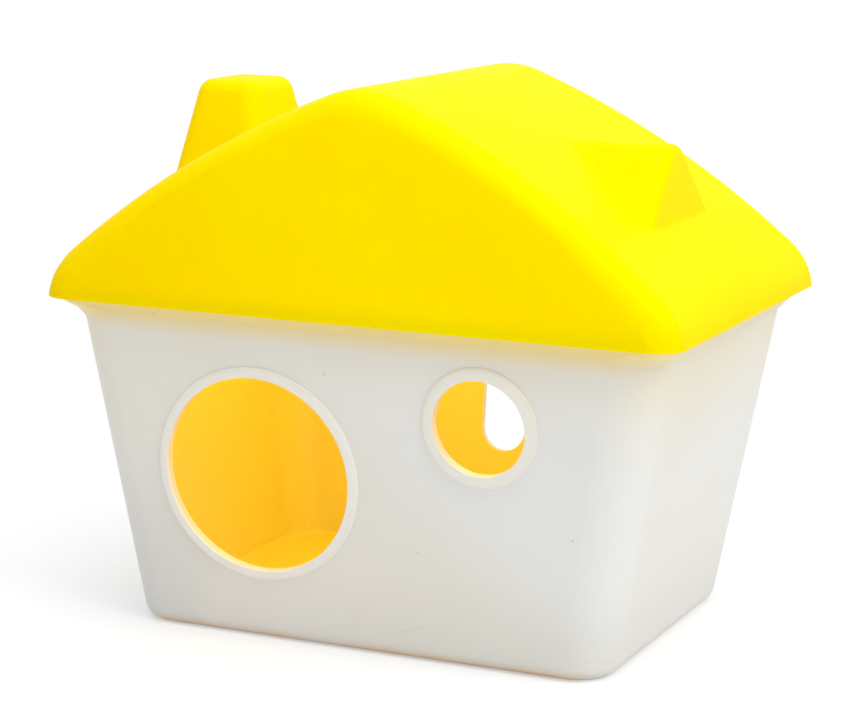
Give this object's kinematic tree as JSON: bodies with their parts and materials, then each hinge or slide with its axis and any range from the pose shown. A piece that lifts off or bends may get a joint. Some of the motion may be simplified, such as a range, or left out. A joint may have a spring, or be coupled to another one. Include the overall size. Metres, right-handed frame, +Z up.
{
  "type": "hamster house",
  "caption": "Small moulded plastic house for a hamster: a tapered white body with a round doorway and window, and a translucent yellow gable roof that lifts off.",
  "frame": {"origin": "middle of the flat underside that the house stands on", "axes": "+X to the right along the front wall, +Y from the front wall to the back wall, +Z up"},
  "size_m": [0.1816, 0.1266, 0.1506],
  "materials": {
    "body_white": "satin, faint moulding waves and fine scuffs",
    "roof_yellow": "satin, translucent"
  },
  "bodies": {
    "house": {"house_body": "body_white"},
    "roof": {"roof": "roof_yellow"}
  },
  "joints": [
    {"name": "roof_lift", "type": "slide", "parent": "house", "child": "roof", "axis": [0, 0, 1], "range_m": [0, 0.06]}
  ]
}
